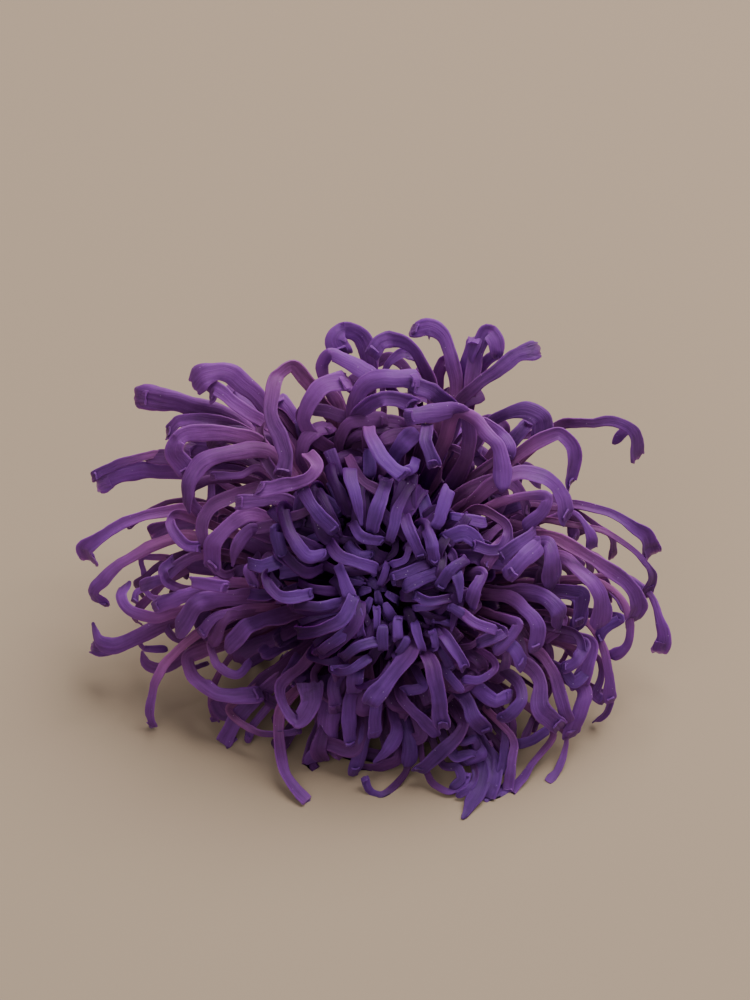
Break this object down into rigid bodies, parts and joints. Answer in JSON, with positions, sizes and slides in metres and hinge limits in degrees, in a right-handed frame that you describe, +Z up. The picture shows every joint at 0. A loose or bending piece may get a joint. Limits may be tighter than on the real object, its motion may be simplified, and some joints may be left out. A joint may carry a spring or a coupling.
{
  "type": "preserved chrysanthemum flower",
  "caption": "Preserved spider chrysanthemum head: quilled purple florets hooked over at their tips, on a short cut calyx, lying on its back with its face up and forward.",
  "frame": {"origin": "middle of the head's footprint, on the surface that it lies on", "axes": "+X across the head to the right, as seen from the front; +Y away from the viewer; +Z up. The flower's own axis points forward and up, 50 degrees above the surface"},
  "size_m": [0.0819, 0.0546, 0.045],
  "materials": {
    "floret": "matte, slightly waxy petal",
    "calyx": "matte dried green bracts"
  },
  "bodies": {
    "root": {"bloom": "floret", "calyx": "calyx"}
  },
  "joints": []
}
